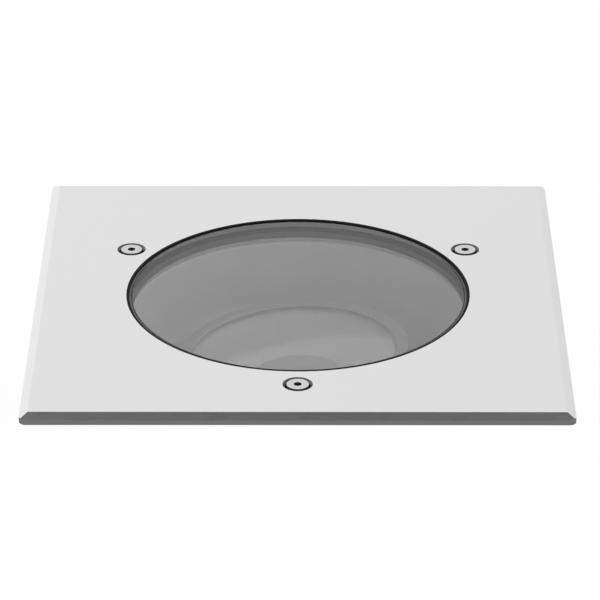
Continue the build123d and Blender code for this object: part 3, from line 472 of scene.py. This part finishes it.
def threaded_screw(place):
    """A copy of a cover screw whose shank below the washer is a threaded rod."""
    source = nodes["cover_screw_" + place]
    mesh = bpy.data.meshes.new("threaded_screw_" + place)
    work = bmesh.new()
    work.from_mesh(source.data)
    bmesh.ops.transform(work, matrix=source.matrix_world, verts=work.verts)
    bmesh.ops.remove_doubles(work, verts=work.verts, dist=weld_distance)
    low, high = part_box("cover_screw_" + place)
    washer_low, washer_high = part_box("retaining_washer_" + place)
    middle = Vector(((low.x + high.x) / 2, (low.y + high.y) / 2, 0))
    shank = [face for face in work.faces if max(v.co.z for v in face.verts) < washer_low.z]
    bmesh.ops.delete(work, geom=shank, context="FACES")
    bmesh.ops.holes_fill(work, edges=work.edges, sides=0)
    thread_into(
        work,
        screw_radius,
        low.z,
        washer_low.z - screw_thread_gap,
        middle,
        screw_pitch,
        screw_thread_depth,
        screw_thread_profile,
        screw_thread_steps,
    )
    bmesh.ops.remove_doubles(work, verts=work.verts, dist=weld_distance)
    bmesh.ops.holes_fill(work, edges=work.edges, sides=0)
    bmesh.ops.recalc_face_normals(work, faces=work.faces)
    # Painted shade: the head's side and its socket get a dark material, standing in for the shade in the
    # countersink gap and the deep socket
    for face in work.faces:
        face.smooth = True
        centre = face.calc_center_median()
        off_axis = math.hypot(centre.x - middle.x, centre.y - middle.y)
        on_side = off_axis > screw_radius and centre.z > washer_high.z
        in_socket = off_axis < screw_socket_reach and centre.z > washer_low.z
        face.material_index = int((on_side or in_socket) and centre.z < high.z - weld_distance)
    work.to_mesh(mesh)
    work.free()
    if "custom_normal" in mesh.attributes:
        mesh.attributes.remove(mesh.attributes["custom_normal"])
    mesh.set_sharp_from_angle(angle=screw_sharp_angle)
    mesh.materials.append(materials["screw_steel"])
    mesh.materials.append(materials["screw_side"])
    add_piece("threaded_screw_" + place, mesh, "screw_" + place, "screw_steel", "cover_screw_" + place)


for place in screw_places:
    threaded_screw(place)


# Lamp cap with its coarse rounded thread, drawn upright about the lamp's pivot
pivot_depth = 60 * mm
lamp_lean = math.radians(4.5)
cap_radius = 13.2 * mm
cap_top = -33.5 * mm
cap_foot = -54.5 * mm
cap_end = -57.0 * mm
cap_tip_radius = 9.0 * mm
cap_collar = 2.4 * mm
cap_pitch = 3.63 * mm
cap_thread_depth = 1.1 * mm
cap_thread_rows = 8
cap_thread_steps = 64
cap_sharp_angle = math.radians(40)


def threaded_cap():
    """The lamp's cap: a threaded shell between a plain collar and a tapered end."""
    mesh = bpy.data.meshes.new("threaded_cap")
    work = bmesh.new()
    wave = [(1 - math.cos(2 * math.pi * row / cap_thread_rows)) / 2 for row in range(cap_thread_rows)]
    thread_top = cap_top - cap_collar
    thread_into(
        work,
        cap_radius,
        cap_foot,
        thread_top,
        Vector(),
        cap_pitch,
        cap_thread_depth,
        wave,
        cap_thread_steps,
    )
    bmesh.ops.remove_doubles(work, verts=work.verts, dist=weld_distance)
    root = cap_radius - cap_thread_depth
    for level, reach, height in ((thread_top, root, cap_top), (cap_foot, cap_tip_radius, cap_end)):
        open_edges = [edge for edge in work.edges if edge.is_boundary]
        rim = [edge for edge in open_edges if all(abs(v.co.z - level) < weld_distance for v in edge.verts)]
        grown = bmesh.ops.extrude_edge_only(work, edges=rim)["geom"]
        for vert in (part for part in grown if isinstance(part, bmesh.types.BMVert)):
            share = reach / math.hypot(vert.co.x, vert.co.y)
            vert.co = (vert.co.x * share, vert.co.y * share, height)
    bmesh.ops.holes_fill(work, edges=work.edges, sides=0)
    bmesh.ops.recalc_face_normals(work, faces=work.faces)
    for face in work.faces:
        face.smooth = True
    to_world = Matrix.Translation((0, 0, -pivot_depth)) @ Matrix.Rotation(-lamp_lean, 4, "Y")
    bmesh.ops.transform(work, matrix=to_world, verts=work.verts)
    work.to_mesh(mesh)
    work.free()
    mesh.set_sharp_from_angle(angle=cap_sharp_angle)
    mesh.materials.append(materials["cap_nickel"])
    add_piece("threaded_cap", mesh, "lamp", "cap_nickel", "lamp_cap")


threaded_cap()

# Floor and card, which aren't part of the object
floor_reach = 3.0
floor_gap = 0.2 * mm
floor_color = (0.8, 0.8, 0.8)
floor_rough = 0.9
floor_white = 1.16
floor_white_share = 0.6
floor_mirrored = 0.23
card_distance = 2 * mm
card_half_width = 0.175 * mm
card_height = 0.12 * mm
card_overlap = 0.05 * mm


def stage_plane(name, corners, material):
    """A flat piece with four corners that belongs to the surroundings."""
    mesh = bpy.data.meshes.new(name)
    mesh.from_pydata(corners, [], [(0, 1, 2, 3)])
    mesh.materials.append(material)
    plane = bpy.data.objects.new(name, mesh)
    bpy.context.scene.collection.objects.link(plane)
    return plane


def floor_material():
    """Pale floor that reads white where nothing shades it, that steel mirrors darker, and open from below."""
    material, tree, shader = new_material("floor")
    shader.inputs["Base Color"].default_value = [*floor_color, 1.0]
    shader.inputs["Roughness"].default_value = floor_rough
    shader.inputs["Specular IOR Level"].default_value = 0.0
    path = tree.nodes.new("ShaderNodeLightPath")
    side = tree.nodes.new("ShaderNodeNewGeometry")
    white_share = computed(tree, "MULTIPLY", path.outputs["Is Camera Ray"], floor_white_share)
    seen = layered(tree, white_share, shader.outputs["BSDF"], glow(tree, floor_white))
    seen_or_mirrored = layered(tree, path.outputs["Is Glossy Ray"], seen, glow(tree, floor_mirrored))
    surface(tree, layered(tree, side.outputs["Backfacing"], seen_or_mirrored, clear(tree)))
    return material


def card_material():
    """Plain white to the camera."""
    material, tree, shader = new_material("white_card")
    surface(tree, glow(tree, 1.0))
    return material


def front_card():
    """A tiny white card on the lens, from the line of the plate's lower front edge down.

    The light stands in the ground, so the photographed view shows nothing under that edge. Real ground at
    that level would hide the pot in every other view too.
    """
    low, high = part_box("cover_plate")
    edge = Vector((camera.location.x, low.y, low.z + card_overlap)) - camera.location
    top = camera.location + edge * (card_distance / edge.length)
    down = Vector((0, edge.z, -edge.y)).normalized() * card_height
    across = Vector((card_half_width, 0, 0))
    corners = [top - across, top + across, top + across + down, top - across + down]
    card = stage_plane("front_card", corners, card_material())
    card.visible_shadow = False
    card.visible_diffuse = False
    card.visible_glossy = False
    card.visible_transmission = False


floor_level = cad_box[0].z - floor_gap
unit_corners = ((-1, -1), (1, -1), (1, 1), (-1, 1))
floor_corners = [(x * floor_reach, y * floor_reach, floor_level) for x, y in unit_corners]
stage_plane("floor", floor_corners, floor_material())
front_card()

# World: white to the camera; metal mirrors one dark patch overhead and more light from the left
dark_patch_middle = (0.0, 0.125, 0.992)
dark_patch_reach = (0.3, 0.115, 0.3)
dark_patch_core = 0.75
dark_patch_edge = 1.25
world_strength = 0.75
mirrored_strength_left = 1.2
mirrored_strength_right = 0.8


def make_world():
    """Surroundings whose strength depends on whether they are seen, mirrored or light the part."""
    world = bpy.data.worlds.new("studio")
    world.use_nodes = True
    bpy.context.scene.world = world
    tree = world.node_tree
    background = tree.nodes["Background"]
    background.inputs["Color"].default_value = (1.0, 1.0, 1.0, 1.0)
    place = tree.nodes.new("ShaderNodeTexCoord")
    parts = tree.nodes.new("ShaderNodeSeparateXYZ")
    tree.links.new(place.outputs["Generated"], parts.inputs["Vector"])
    patch = tree.nodes.new("ShaderNodeMapping")
    patch.vector_type = "TEXTURE"
    patch.inputs["Location"].default_value = dark_patch_middle
    patch.inputs["Scale"].default_value = dark_patch_reach
    tree.links.new(place.outputs["Generated"], patch.inputs["Vector"])
    reach = tree.nodes.new("ShaderNodeVectorMath")
    reach.operation = "LENGTH"
    tree.links.new(patch.outputs["Vector"], reach.inputs[0])
    ceiling = mapped(tree, reach.outputs["Value"], 0.0, 1.0, dark_patch_core, dark_patch_edge)
    sideways = mapped(tree, parts.outputs["X"], mirrored_strength_left, mirrored_strength_right, -1.0, 1.0)
    path = tree.nodes.new("ShaderNodeLightPath")
    mirrored = computed(tree, "MULTIPLY", ceiling, sideways)
    unseen = blended(tree, "FLOAT", path.outputs["Is Glossy Ray"], world_strength, mirrored)
    seen_or_not = blended(tree, "FLOAT", path.outputs["Is Camera Ray"], unseen, 1.0)
    tree.links.new(seen_or_not, background.inputs["Strength"])


make_world()

# The one lamp, large and soft
lamp_place = (1.2, 0.5, 1.8)
lamp_side = 3.0
lamp_power = 20.0


def soft_lamp(name, place, size, power):
    """A square lamp aimed at the middle of the plate, which only lights and isn't reflected."""
    data = bpy.data.lights.new(name, "AREA")
    data.size = size
    data.energy = power
    lamp = bpy.data.objects.new(name, data)
    lamp.location = place
    lamp.rotation_mode = "QUATERNION"
    lamp.rotation_quaternion = (-Vector(place)).to_track_quat("-Z", "Y")
    lamp.visible_glossy = False
    bpy.context.scene.collection.objects.link(lamp)


soft_lamp("key", lamp_place, lamp_side, lamp_power)
